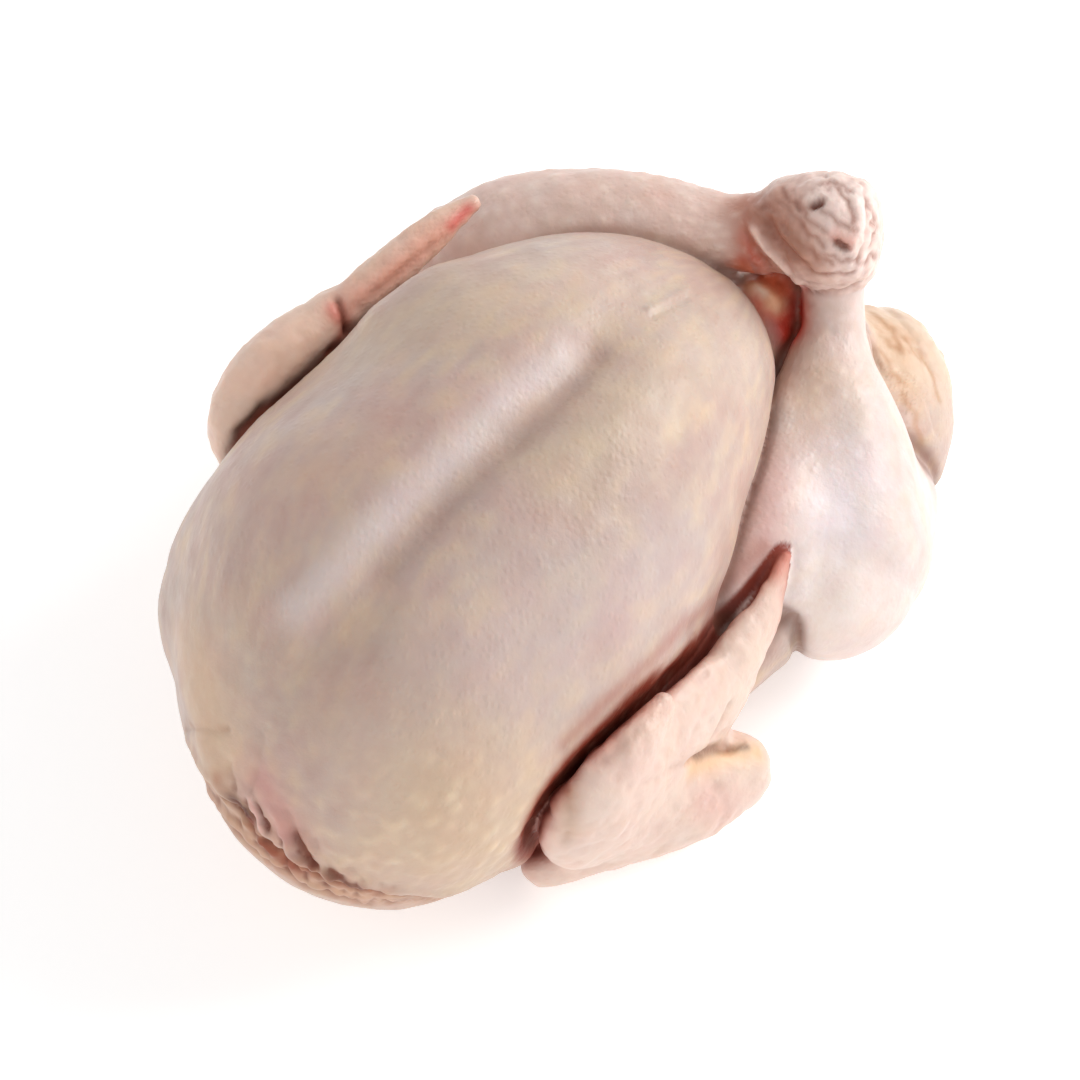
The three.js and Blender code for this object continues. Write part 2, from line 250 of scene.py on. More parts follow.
whole = join(whole, wing_r, 2, 5.5 * (0.15 + 0.85 * np.clip((away - 6.0) / 48.0, 0, 1)), 4.0)
root = real((-94, -84, 66))
away = np.sqrt((cell[0][:, None, None] - root[0]) ** 2 + (cell[1][None, :, None] - root[1]) ** 2 + (cell[2][None, None, :] - root[2]) ** 2)
free = np.clip((away - 34.0) / 16.0, 0, 1)
joined = join(whole, wing_l, 10)
whole = join(whole, wing_l, 2, 2.2, 2.4) * free + joined * (1 - free)
zc = ((np.arange(shape[2]) + lo[2]) * VOXEL)[None, None, :].astype(np.float32)
h = np.maximum(2.0 - np.abs(whole + zc), 0) / 2.0
whole = np.maximum(whole, -zc) + h * h * 0.5
whole = np.clip(whole, -BAND * VOXEL, BAND * VOXEL).astype(np.float32)

skin = vdb.FloatGrid(BAND * VOXEL)
skin.transform = steps
skin.copyFromArray(whole, ijk=tuple(int(x) for x in lo))
V, Q = skin.convertToQuads(0.0)[:2]
V, Q = np.asarray(V, float), np.asarray(Q, int)


def triangles(Q):
    return np.vstack([Q[:, [0, 1, 2]], Q[:, [0, 2, 3]]])


def volume(V, F):
    return np.einsum("ij,ij->i", V[F[:, 0]], np.cross(V[F[:, 1]], V[F[:, 2]])).sum() / 6


if volume(V, triangles(Q)) < 0:
    Q = Q[:, ::-1]


def normals(V):
    F = triangles(Q)
    n = np.cross(V[F[:, 1]] - V[F[:, 0]], V[F[:, 2]] - V[F[:, 0]])
    out = np.zeros_like(V)
    for k in range(3):
        for j in range(3):
            out[:, j] += np.bincount(F[:, k], n[:, j], len(V))
    return out / np.maximum(np.linalg.norm(out, axis=1), 1e-12)[:, None]


E = np.vstack([Q[:, [0, 1]], Q[:, [1, 2]], Q[:, [2, 3]], Q[:, [3, 0]]])
E = np.unique(np.sort(E, 1), axis=0)
DEG = np.bincount(E.ravel(), minlength=len(V))[:, None]


def smooth(X, rounds=1, f=0.5):
    """Each row moves towards the mean of its neighbours."""
    X = X.copy() if X.ndim == 2 else X[:, None].copy()
    for _ in range(rounds):
        s = np.zeros_like(X)
        for j in range(X.shape[1]):
            s[:, j] = np.bincount(E[:, 0], X[E[:, 1], j], len(X)) + np.bincount(E[:, 1], X[E[:, 0], j], len(X))
        X += f * (s / DEG - X)
    return X


for _ in range(3):
    V = smooth(V, 1, 0.5)
    V = smooth(V, 1, -0.5)
print("skin vertices", len(V), "quads", len(Q))


# ------------------------------------------------------------------ which part each vertex belongs to
def sample(a, P):
    g = P / VOXEL - lo
    i = np.clip(np.floor(g).astype(int), 0, np.array(shape) - 2)
    w = g - i
    out = np.zeros(len(P))
    for dx in (0, 1):
        for dy in (0, 1):
            for dz in (0, 1):
                c = (w[:, 0] if dx else 1 - w[:, 0]) * (w[:, 1] if dy else 1 - w[:, 1]) * (w[:, 2] if dz else 1 - w[:, 2])
                out += c * a[i[:, 0] + dx, i[:, 1] + dy, i[:, 2] + dz]
    return out


dist = np.stack([sample(field[n], V) for n in names], 1)
own = np.argmin(dist, 1)
part = {n: i for i, n in enumerate(names)}
near2 = np.sort(dist, 1)[:, :2]
fade = np.clip((near2[:, 1] - near2[:, 0]) / 2.5, 0, 1)
GROUPS = {"body": ["breast", "back", "abdomen", "tail", "shoulder_L", "vent"], "legR": ["drum_R", "thigh_R", "flank_R"], "legL": ["drum_L", "thigh_L", "flank_L"],
          "hockR": ["hock_R"], "hockL": ["hock_L"], "wingR": ["fore_R", "upper_R", "hand_R", "thumb_R"], "wingL": ["fore_L", "upper_L", "hand_L", "thumb_L"]}
gd = np.stack([dist[:, [part[n] for n in ns]].min(1) for ns in GROUPS.values()], 1)
gown = np.argmin(gd, 1)
gname = list(GROUPS)
gsort = np.sort(gd, 1)
seam = np.exp(-((gsort[:, 1] / 3.2) ** 2))


def on(*which):
    """1 on the vertices of these groups or parts."""
    m = np.zeros(len(V))
    for n in which:
        m = np.maximum(m, (gown == gname.index(n)) if n in GROUPS else (own == part[n]))
    return m


def soft(name, k):
    """1 on that part, easing to 0 where it is k mm further away than the nearest part."""
    return np.clip(1 - (dist[:, part[name]] - dist.min(1)) / k, 0, 1)


# ------------------------------------------------------------------ noise, strokes and skin coordinates
def noise(P, size, seed):
    """Smooth 3D noise, about -1 to 1, with lumps of that size in millimetres."""
    rng = np.random.RandomState(seed)
    perm = np.tile(rng.permutation(256), 3)
    grad = rng.normal(size=(256, 3))
    grad /= np.linalg.norm(grad, axis=1)[:, None]
    p = P / size + 97.3
    i = np.floor(p).astype(int)
    f = p - i
    u = f * f * f * (f * (f * 6 - 15) + 10)
    i &= 255
    out = np.zeros(len(P))
    for dx in (0, 1):
        for dy in (0, 1):
            for dz in (0, 1):
                g = grad[perm[perm[perm[(i[:, 0] + dx) & 255] + ((i[:, 1] + dy) & 255)] + ((i[:, 2] + dz) & 255)]]
                c = (u[:, 0] if dx else 1 - u[:, 0]) * (u[:, 1] if dy else 1 - u[:, 1]) * (u[:, 2] if dz else 1 - u[:, 2])
                out += c * (g * (f - np.array([dx, dy, dz]))).sum(1)
    return out * 1.6


tree = BVHTree.FromPolygons(V.tolist(), Q.tolist())


def at(px, py):
    """The point of the skin seen at this place of the photograph's 1080 by 1080 frame."""
    p = np.array([px, py], float)
    for _ in range(60):
        d = RIGHT * (p[0] - 540) / FPX - UP * (p[1] - 540) / FPX - BACKV
        hit = tree.ray_cast(Vector(EYE), Vector(d / np.linalg.norm(d)))
        if hit[0] is not None and hit[0].z > 0.5:
            return np.array(hit[0])
        p += (np.array(AIM) - p) * 0.02
    return np.array(hit[0])


def place(q):
    """A point of the skin: seen at a place of the frame, nearest to a table point, or nearest to a point in real mm."""
    if isinstance(q, np.ndarray):
        return np.array(tree.find_nearest(Vector(q))[0])
    return at(*q) if len(q) == 2 else np.array(tree.find_nearest(Vector(real(q)))[0])


def reach(line, limit=60.0):
    """Distance in mm from each vertex to a line of points of the skin."""
    pts = [place(q) for q in line]
    d = np.full(len(V0), 1e3)
    box = (V0 > np.min(pts, 0) - limit).all(1) & (V0 < np.max(pts, 0) + limit).all(1)
    X = V0[box]
    best = np.full(len(X), 1e3)
    if len(pts) == 1:
        best = np.linalg.norm(X - pts[0], axis=1)
    for a, b in zip(pts[:-1], pts[1:]):
        ab = b - a
        t = np.clip((X - a) @ ab / max(ab @ ab, 1e-9), 0, 1)
        best = np.minimum(best, np.linalg.norm(X - a - t[:, None] * ab, axis=1))
    d[box] = best
    return d


def bell(line, r, where=None):
    m = np.exp(-((reach(line, 3 * r + 2) / r) ** 2))
    return m if where is None else m * where


V0 = V.copy()
S = np.zeros(len(V))
W = np.zeros(len(V))
keys = {"breast": BREAST, "back": BACK}
for n in names:
    m = own == part[n]
    if not m.any():
        continue
    X = (V[m] - SHIFT) / K
    if n in keys:
        k = table(keys[n], X[:, 1])
        S[m] = X[:, 1] * K
        W[m] = np.arctan2(X[:, 0] - k[:, 0], X[:, 2] - k[:, 2]) * 88 * K
    else:
        at_, side, ends = LIMBS[n]
        t = np.linspace(0, 1, 80)
        c = catmull(at_, t)
        L = np.concatenate([[0], np.cumsum(np.linalg.norm(np.diff(c[:, :3], axis=0), axis=1))])
        j = np.argmin(((X[:, None, :] - c[None, :, :3]) ** 2).sum(2), 1)
        T = np.gradient(c[:, :3], axis=0)
        T /= np.linalg.norm(T, axis=1)[:, None]
        ref = np.asarray(side, float)
        A = ref - (T @ ref)[:, None] * T
        A /= np.linalg.norm(A, axis=1)[:, None]
        B = np.cross(T, A)
        D = X - c[j, :3]
        S[m] = (L[j] + (D * T[j]).sum(1)) * K
        W[m] = np.arctan2((D * B[j]).sum(1), (D * A[j]).sum(1)) * (c[:, 3] + c[:, 4]).mean() / 2 * K


def follicles(pitch, size, seed, jitter=0.8):
    """Rows of small raised follicles, offset row by row: 0 to 1."""
    a, b = S / pitch, W / (pitch * 0.87)
    row = np.floor(b)
    out = np.zeros(len(S))
    for dr in (-1, 0, 1):
        r = row + dr
        ar = a + 0.5 * (r % 2)
        c0 = np.floor(ar)
        for dc in (-1, 0, 1):
            c = c0 + dc
            h1 = np.modf(np.abs(np.sin(r * 127.1 + c * 311.7 + seed) * 43758.5453))[0]
            h2 = np.modf(np.abs(np.sin(r * 269.5 + c * 183.3 + seed * 1.7) * 28001.8384))[0]
            dx = (ar - (c + 0.5 + jitter * (h1 - 0.5))) * pitch
            dy = (b - (r + 0.5 + jitter * (h2 - 0.5))) * pitch * 0.87
            out = np.maximum(out, np.exp(-((dx * dx + dy * dy) / size**2)) * (0.35 + 0.65 * h2))
    return out


# ------------------------------------------------------------------ shape of the skin, in mm along the normal
N = normals(V)
firm = np.clip((V[:, 2] - 1.0) / 6.0, 0, 1)          # nothing moves where the bird is pressed flat
D = 0.8 * noise(V, 42, 1) + 0.45 * noise(V, 19, 2) + 0.18 * noise(V, 9, 3)
body, hk, wings = on("body"), on("hockL", "hockR", "legL", "legR", "body"), on("wingR", "wingL")
wr, wl, leg_right, leg_left, knob = on("wingR"), on("wingL"), on("legR"), on("legL"), on("hockL")


def crease(line, w, depth, where=None):
    global D
    D = D - depth * bell(line, w, where)


def lump(line, r, height, where=None):
    global D
    D = D + height * bell(line, r, where)


def wander(line, amount, seed):
    """The same line with more points, each moved a little."""
    rng = np.random.RandomState(seed)
    P = np.asarray(line, float)
    t = np.linspace(0, len(P) - 1, 3 * (len(P) - 1) + 1)
    out = np.stack([np.interp(t, np.arange(len(P)), P[:, j]) for j in (0, 1)], 1)
    return [tuple(q) for q in out + rng.normal(size=out.shape) * amount]


lump([(384, 312), (404, 298), (432, 278)], 15.0, 4.0, body * np.clip(gd[:, gname.index("wingL")] / 9, 0, 1) * np.clip(gd[:, gname.index("legL")] / 9, 0, 1))
# low rise and hollow on both sides of the keel
RISE = [(300, 608), (345, 558), (440, 468), (500, 408), (560, 362)]
HOLLOW = [(385, 570), (480, 475), (538, 415), (596, 358)]
lump(RISE, 8.0, 1.1, body)
crease(HOLLOW, 6.0, 1.3, body)
crease([(515, 440), (560, 395), (600, 352)], 6.0, 0.8, body)
lump([(756, 287), (764, 291), (772, 298)], 3.6, 3.2, 1 - knob)
lump([(776, 318), (782, 334)], 4.0, 2.0, body)


# keel line running out towards the neck, and the scratch near the tip of the breast
crease([(330, 612), (303, 660), (284, 700), (270, 735), (258, 772)], 5.0, 1.1, body)
lump([(300, 600), (272, 655), (255, 700)], 8.0, 0.8, body)
lump([(648, 309), (668, 299), (688, 289)], 1.4, 1.0, body)
crease([(652, 317), (670, 307), (688, 298)], 1.4, 0.9, body)
crease([(650, 292), (664, 284), (684, 276)], 1.3, 0.5, body)
# neck end: skin drawn down and folded under
FLAP = [(-52, -180, 70), (-26, -188, 80), (228, 798), (240, 814), (256, 834), (280, 854), (300, 866), (322, 878), (345, 885), (376, 893), (74, -164, 60), (83, -146, 50), (90, -124, 42)]
edge = np.array([place(q) for q in FLAP])
run = np.concatenate([[0], np.cumsum(np.linalg.norm(np.diff(edge, axis=0), axis=1))])
fine = np.linspace(0, run[-1], 36)
edge = np.stack([np.interp(fine, run, edge[:, j]) for j in range(3)], 1)
wave = np.random.RandomState(5).normal(size=(36, 3)) * [0.6, 0.0, 1.4]
wave *= np.clip((np.arange(36) - 8) / 8, 0.15, 1)[:, None]


def below(mm, wavy=1.0):
    return [q for q in edge + wave * wavy - [0, 0, mm]]


ends_ = np.clip(np.minimum(V[:, 0] - edge[0, 0], edge[-1, 0] + 6 - V[:, 0]) / 14, 0, 1)
crease(below(12), 9.0, 2.6, body * ends_)
crease(below(26), 8.0, 1.2, body * ends_)
crease(below(3.5), 1.8, 2.0, body * ends_)
lump(below(-2.5), 3.2, 1.2, body * ends_)
lump(below(15, 2.0), 2.6, 0.9, body * ends_)
crease(below(19, 3.0), 1.7, 1.0, body * ends_)
gather = np.random.RandomState(9)
for k in range(22):
    i = 1 + (k * 34) // 22
    g = gather.rand(5)
    q = edge[i]
    line = [q + [0, 0, 3 + 6 * g[0]], q + [1.6 * (g[1] - 0.5), 0, -2], q + [5 * (g[2] - 0.5), 0, -9 - 7 * g[3]], q + [8 * (g[2] - 0.5), 0, -16 - 16 * g[3]]]
    calm = (0.12 + 0.88 * min(max((i - 10) / 7, 0), 1)) * (1 - 0.75 * min(max((i - 20) / 5, 0), 1))
    crease(line, 1.3 + 0.5 * g[4], (0.8 + 1.0 * g[0]) * calm, body * ends_)
crease(wander([(263, 728), (259, 745), (255, 770), (250, 796)], 1.5, 1), 1.5, 0.9, body)
lump([(196, 700), (206, 730)], 9.0, 1.2, body)
lump([(208, 752), (222, 780)], 8.0, 1.4, body)
crease(wander([(180, 728), (204, 730), (229, 730)], 1.2, 2), 1.3, 0.8, body)
crease(wander([(228, 762), (234, 780), (236, 796)], 1.2, 3), 1.4, 0.8, body)
crease(wander([(233, 801), (240, 811), (246, 820)], 1.0, 4), 2.6, 2.6, body)
for k, (q, deep) in enumerate([([(243, 800), (256, 830), (274, 852)], 1.0), ([(266, 842), (282, 862)], 1.4), ([(285, 812), (296, 842), (311, 868)], 1.2),
                               ([(297, 838), (302, 852), (312, 868)], 1.7), ([(312, 840), (326, 866), (340, 882)], 0.9), ([(331, 870), (345, 883), (362, 889)], 0.8),
                               ([(352, 872), (376, 888)], 0.4), ([(276, 858), (300, 880)], 1.2), ([(218, 790), (232, 812)], 1.2)]):
    crease(wander(q, 1.8, 10 + k), 1.5, deep, body)
for k, q in enumerate([[(250, 800), (257, 816), (263, 833)], [(273, 812), (282, 836), (296, 862)], [(304, 836), (318, 862), (330, 876)], [(338, 862), (356, 880)], [(252, 838), (268, 858)]]):
    lump(wander(q, 1.5, 20 + k), 2.0, 1.1, body)
crease(wander([(256, 804), (262, 818), (267, 830)], 0.8, 30), 1.1, 1.6, body)
neck = np.clip(bell([(236, 800), (262, 838), (300, 866), (345, 884)], 8, body) + 0.8 * bell(below(9), 9, body * ends_), 0, 1)
D += neck * (0.8 * noise(V, 6, 41) + 0.5 * noise(V, 3.4, 42))
# tucked hock: skin rim with a cleft on both sides, two pits, wrinkles
lump([(836, 218)], 11.0, 1.6, knob)
lump([(812, 262), (842, 266)], 7.0, 1.0, knob)
lump([(754, 230), (764, 243), (775, 257), (788, 270), (800, 281)], 1.6, 2.6, hk)
lump([(748, 216), (756, 236)], 4.0, 1.2, hk)
lump([(784, 232), (800, 252)], 3.0, 1.0, hk)
crease([(768, 222), (780, 240), (793, 256), (807, 271)], 2.4, 2.4, hk)
crease([(746, 232), (756, 252), (768, 268), (782, 281)], 2.0, 1.8, hk)
crease([(764, 204), (776, 212), (788, 230)], 2.0, 1.2, hk)
lump([(801, 284)], 2.4, 1.4, hk)
crease([(804, 289), (822, 293), (842, 291), (858, 285)], 1.5, 1.5, hk)
crease([(814, 206), (820, 203)], 1.6, 3.4, hk)
crease([(838, 242), (845, 247)], 1.5, 3.4, hk)
lump([(810, 199), (820, 196), (829, 200)], 1.6, 0.8, hk)
lump([(828, 232), (842, 236), (852, 244)], 1.8, 0.8, hk)
crease([(794, 190), (800, 214), (808, 240), (816, 262)], 1.6, 0.8, hk)
crease([(861, 184), (867, 208), (866, 238), (858, 262)], 1.3, 0.8, hk)
crease([(826, 176), (829, 190)], 1.3, 0.7, hk)
crease([(884, 230), (886, 252)], 1.5, 1.2, hk)
crease([(806, 304), (834, 311), (861, 307)], 1.4, 0.6, hk)
crease([(798, 326), (834, 333), (866, 329)], 1.6, 0.5, hk)
wrinkle_shade = np.zeros(len(V))
for k, q in enumerate([[(766, 214), (790, 236), (812, 252), (832, 262)], [(778, 202), (800, 222), (826, 246)], [(772, 238), (786, 252), (806, 262)], [(800, 196), (806, 216), (826, 232)],
                       [(826, 214), (842, 226), (858, 232)], [(842, 190), (850, 208), (850, 226)], [(820, 254), (842, 260), (862, 256)], [(868, 200), (876, 222), (874, 246)],
                       [(784, 192), (796, 204), (808, 212)], [(824, 184), (840, 186), (852, 194)], [(850, 262), (868, 262), (878, 252)], [(812, 272), (832, 276), (852, 272)]]):
    m = bell(wander(q, 1.8, 50 + k), 1.25, hk)
    D = D - (0.35 + 0.35 * (k % 3) / 2) * m
    wrinkle_shade = np.maximum(wrinkle_shade, m)
D += knob * (0.55 * noise(V, 5.5, 31) + 0.4 * noise(V, 3.0, 32))
# tail
crease([(864, 303), (867, 326), (874, 350), (882, 372)], 2.0, 1.6, body)
crease([(888, 328), (912, 345), (930, 368)], 2.6, 0.8, body)
crease([(900, 372), (926, 396), (936, 430)], 2.6, 0.8, body)
# wings: folds of thin skin
D += wings * (0.5 * noise(V, 7, 5) + 0.3 * noise(V, 4, 6))
crease([(566, 792), (570, 815), (566, 842)], 2.4, 1.0, wr)
lump([(585, 768), (600, 742), (628, 716), (664, 690)], 3.2, 1.0, wr)
crease([(604, 760), (634, 733), (672, 706), (706, 672)], 2.4, 0.9, wr)
crease([(690, 764), (706, 752), (728, 746)], 2.0, 2.4, wr)
crease([(712, 740), (722, 722), (730, 706)], 2.0, 1.2, wr)
lump([(655, 684)], 2.0, 1.4, wr)
crease([(640, 786), (672, 770), (694, 764)], 3.0, 0.8, wr)
crease([(716, 786), (726, 806), (720, 826)], 2.6, 0.6, wr)
crease([(337, 300), (343, 317), (349, 334)], 2.0, 2.6, wl)
lump([(300, 352), (322, 326)], 8.0, 1.6, wl)
lump([(334, 306), (338, 318)], 2.2, 1.6, wl)
crease([(240, 432), (262, 410), (290, 392), (320, 368)], 2.6, 2.2, wl)
lump([(232, 372), (256, 352), (290, 332)], 4.0, 0.8, wl)
crease([(372, 296), (404, 268), (440, 238)], 2.4, 0.9, wl)
crease([(330, 352), (356, 332), (392, 306)], 2.2, 1.0, wl)
lump([(352, 300), (392, 268), (440, 234)], 2.6, 0.8, wl)
D -= 0.5 * seam

even = np.clip(((V0[:, 1] - SHIFT[1]) / K + 178) / 30, 0, 1)      # 0 at the closed neck end
even = np.where(on("tail") > 0, np.clip((198 - (V0[:, 1] - SHIFT[1]) / K) / 14, 0, 1), even)
bumps = np.zeros(len(V))
height = np.zeros(len(V))
sets = [(("breast", "back", "abdomen", "shoulder_L", "vent"), 5.2, 1.6, 0.15), (("drum_L", "thigh_L", "flank_L"), 8.4, 2.3, 0.75),
        (("drum_R", "thigh_R", "flank_R"), 7.0, 2.0, 0.16), (("tail",), 6.4, 1.9, 0.85),
        (("hand_R", "thumb_R", "fore_R", "upper_R", "hand_L", "thumb_L", "fore_L", "upper_L"), 6.6, 1.9, 0.22), (("hock_L", "hock_R"), 4.2, 1.3, 0.25)]
for k, (ns, pt, sz, ht) in enumerate(sets):
    m = on(*ns) > 0
    b = follicles(pt, sz, 3.1 + k)
    bumps[m], height[m] = b[m], ht
coarse = np.clip(bell([(440, 800), (480, 832), (520, 838)], 25, body) + 0.5 * bell([(380, 850), (420, 860)], 14, body), 0, 1)
b = follicles(8.4, 2.4, 9.9)
bumps = bumps * (1 - coarse) + b * coarse
bumps = bumps * even + np.clip(noise(V, 5.0, 71) * 1.5, 0, 1) * (1 - even)
height = height + 0.75 * coarse
height *= 0.5 + 0.5 * np.clip(noise(V, 30, 12) + 0.6, 0, 1.5)
upper_leg = bell([(840, 330), (825, 380), (812, 430)], 20, np.maximum(leg_right, on("hockR")))
height += 0.3 * upper_leg
folds = bumps * height * fade * (1 - 0.8 * seam)
V = V + N * ((D * firm)[:, None]) + N * ((folds * firm)[:, None])
V[:, 2] = np.maximum(V[:, 2], 0.0)


# ------------------------------------------------------------------ colour of the skin, with painted shade in creases, gaps and pits, painted highlights and painted light
def lin(c):
    c = np.asarray(c, float) / 255
    return np.where(c <= 0.04045, c / 12.92, ((c + 0.055) / 1.055) ** 2.4)


C = np.tile(lin((203, 178, 166)), (len(V), 1))


def tint(colour, m):
    global C
    m = np.clip(m, 0, 1)[:, None]
    C = C * (1 - m) + lin(colour) * m


def area_tint(colour, strength, line, r, where=None):
    tint(colour, strength * bell(line, r, where))


PINK, CREAM, LILAC, TAN = (207, 168, 160), (212, 192, 166), (208, 196, 198), (186, 158, 140)
tint(LILAC, 0.45 * np.clip(noise(V, 55, 21) + 0.1, 0, 1))
tint(PINK, 0.45 * np.clip(noise(V, 38, 22), 0, 1))
tint(CREAM, 0.45 * np.clip(noise(V, 30, 23), 0, 1))
tint((232, 220, 217), 0.75 * np.maximum(leg_right, on("hockR")))
tint((232, 206, 196), 0.78 * leg_left)
area_tint((244, 222, 212), 0.5, [(520, 214), (500, 225)], 16, leg_left)
tint((230, 206, 192), 0.75 * wr)
tint((236, 204, 184), 0.85 * wl)
area_tint((226, 206, 192), 0.6, [(500, 300), (560, 280), (620, 280)], 16, body)
area_tint((226, 190, 162), 0.6, [(180, 640), (200, 700), (225, 760)], 10, body)
area_tint((190, 166, 152), 0.5, [(600, 500), (650, 430), (700, 360)], 22, body)
rows_ = np.stack([S * 0.5, W, own * 50.0], 1)
tint((226, 206, 196), 0.25 * np.clip(noise(V, 6, 64), 0, 1) * (leg_right + leg_left))
tint((196, 164, 150), 0.30 * np.clip(noise(V, 6, 65), 0, 1) * (leg_right + leg_left))
streak = (noise(rows_, 7.5, 61) + 0.5 * noise(rows_, 4.0, 62)) * even + (noise(V, 7.5, 61) + 0.5 * noise(V, 4.0, 62)) * (1 - even)
patch_ = noise(V, 16, 63)
tint((228, 202, 168), 0.62 * np.clip(streak, 0, 1) * (body + 0.5 * leg_right))
tint((182, 144, 136), 0.42 * np.clip(-streak, 0, 1) * (body + 0.5 * leg_right))
tint((214, 176, 170), 0.38 * np.clip(patch_, 0, 1))
tint((200, 192, 186), 0.25 * np.clip(-patch_, 0, 1))
# painted highlight along the lit wall of the keel groove, painted shade along its wall turned from the light
area_tint((226, 214, 214), 0.7, RISE, 8, body)
area_tint((178, 148, 136), 0.5, HOLLOW, 7, body)
area_tint(CREAM, 0.4, [(300, 380), (400, 340), (480, 300)], 22, body)
area_tint(PINK, 0.35, [(260, 480), (330, 470), (380, 420)], 22, body)
area_tint(LILAC, 0.45, [(560, 590), (620, 600), (660, 560)], 26, body)
area_tint(CREAM, 0.4, [(560, 470), (620, 420), (660, 370)], 16, body)
area_tint((218, 206, 194), 0.4, [(700, 340), (740, 340)], 20, body)
area_tint(TAN, 0.3, [(330, 690), (400, 700), (420, 760)], 24, body)
area_tint((206, 176, 150), 0.55, [(190, 640), (200, 720), (212, 770)], 14, body)
area_tint((212, 194, 188), 0.45, [(460, 700), (520, 640), (400, 770)], 26, body)
area_tint((222, 190, 160), 0.6, [(205, 680), (220, 730)], 14, body)
tint((232, 208, 182), 0.8 * coarse)
tint((238, 214, 178), 0.45 * coarse * bumps)
tint((190, 154, 124), 0.35 * coarse * (1 - bumps))
area_tint((210, 152, 144), 0.8, [(262, 788), (274, 808), (284, 832)], 8.5, body)
area_tint((206, 158, 128), 0.7, below(14), 12, body * ends_)
# painted shade dark in the crease under the flap edge and in the lower fold line
area_tint((150, 96, 72), 0.5, below(4), 1.8, body * ends_)
area_tint((168, 118, 92), 0.4, below(19, 3.0), 2.0, body * ends_)
area_tint((176, 112, 78), 0.8, [(240, 812), (254, 838), (274, 860), (300, 872), (345, 888), (376, 896)], 5.5, body)
tint((214, 170, 130), 0.5 * neck * np.clip(noise(V, 5, 43) + 0.2, 0, 1))
tint((120, 60, 36), 0.6 * neck * np.clip(-noise(V, 6, 44), 0, 1))
# painted shade: dark red-brown in the neck hole and along the crease lines of the folds, with a painted highlight on
# the lip beside one crease
area_tint((84, 26, 14), 1.0, [(234, 801), (240, 811), (245, 819)], 3.4, body)
area_tint((150, 66, 44), 0.7, [(248, 826), (262, 848), (284, 870), (300, 880)], 2.6, body)
area_tint((110, 40, 30), 0.85, [(256, 804), (262, 818), (267, 830)], 1.3, body)
area_tint((236, 190, 180), 0.8, [(250, 800), (256, 814), (262, 830)], 1.2, body)
area_tint((122, 58, 32), 0.95, [(297, 838), (303, 852), (312, 868)], 3.0, body)
area_tint((116, 58, 34), 0.95, [(333, 873), (346, 884)], 3.0, body)
area_tint((120, 72, 54), 0.8, [(350, 887), (374, 893)], 2.2, body)
area_tint((150, 84, 60), 0.6, [(248, 830), (262, 852), (282, 872)], 2.2, body)
area_tint((176, 132, 104), 0.5, [(182, 728), (228, 729)], 1.6, body)
area_tint((180, 124, 92), 0.6, [(221, 777)], 4, body)
# painted sheen, lavender-white, on the right leg
area_tint((232, 226, 236), 0.5, [(845, 470), (838, 520)], 16, leg_right)
# painted light: the lower right leg lighter, in place of light thrown up from the floor
area_tint((250, 240, 234), 0.65, [(810, 620), (850, 610)], 20, leg_right)
area_tint((206, 168, 160), 0.6, [(778, 450), (762, 500), (745, 560)], 8, leg_right)
area_tint((214, 180, 176), 0.45, [(775, 500), (770, 540)], 9, leg_right)
area_tint((226, 200, 168), 0.45, [(822, 372), (806, 396)], 9, leg_right)
# painted shade, brown, on the right leg's edge beside the tip of the breast
area_tint((196, 162, 138), 0.5, [(790, 345), (785, 385)], 6, leg_right)
tint((206, 184, 172), 0.45 * upper_leg * (1 - bumps))
# painted shade, brown, on the right leg's edge between the breast tip and the hock
tint((190, 160, 142), 0.55 * bell([(806, 300), (800, 330), (796, 352)], 7, np.maximum(leg_right, on("hockR"))) * (1 - 0.5 * bumps))
# painted shade dark along the crease under the hock
area_tint((140, 84, 68), 0.75, [(804, 289), (822, 293), (842, 291)], 1.6, hk)
# hock, torn skin and the opening below it; painted shade in the cleft, the pits and the wrinkles, painted highlights on
# the rim and above a pit
tint((238, 216, 208), 0.85 * knob)
area_tint((238, 222, 216), 0.7, [(840, 210), (852, 200), (862, 236), (838, 262)], 10, knob)
# painted shade on the hock's side turned from the light
area_tint((190, 142, 122), 0.8, [(780, 200), (790, 232), (804, 262)], 9, hk)
area_tint((176, 108, 84), 0.85, [(744, 204), (752, 232), (764, 256), (782, 278)], 8.5, hk)
area_tint((186, 84, 56), 0.85, [(746, 240), (756, 258), (770, 278)], 4.5, hk)
area_tint((186, 70, 42), 0.9, [(742, 262), (756, 276), (768, 284)], 4.0)
# painted shade, brown, in the cleft between the skin rim and the hock
area_tint((140, 84, 60), 0.85, [(762, 210), (776, 236), (792, 258)], 5.2, hk)
area_tint((110, 70, 44), 0.5, [(786, 226), (800, 246)], 3.0, hk)
# pale thin skin rim, with a painted highlight along it
area_tint((240, 212, 200), 0.95, [(754, 230), (764, 243), (775, 257), (788, 270), (800, 281)], 1.9, hk)
area_tint((238, 176, 170), 0.9, [(801, 284)], 3, hk)
tint((176, 138, 130), 0.45 * knob * np.clip(noise(V, 3.0, 45) + 0.5 * noise(V, 6.0, 46), 0, 1))
tint((232, 200, 192), 0.5 * knob * np.clip(-noise(V, 3.0, 45), 0, 1))
# painted shade: near black inside the two pits, darker round their edges
area_tint((10, 2, 2), 1.0, [(814, 206), (820, 203)], 1.7, hk)
area_tint((10, 2, 2), 1.0, [(838, 242), (845, 247)], 1.6, hk)
area_tint((120, 60, 50), 0.7, [(811, 208), (824, 201)], 1.0, hk)
area_tint((150, 84, 74), 0.7, [(832, 238), (850, 249)], 1.0, hk)
# painted highlight above the upper pit
area_tint((244, 228, 220), 0.8, [(810, 199), (818, 196)], 1.0, hk)
area_tint((216, 164, 152), 0.7, [(835, 234), (850, 242)], 2.4, hk)
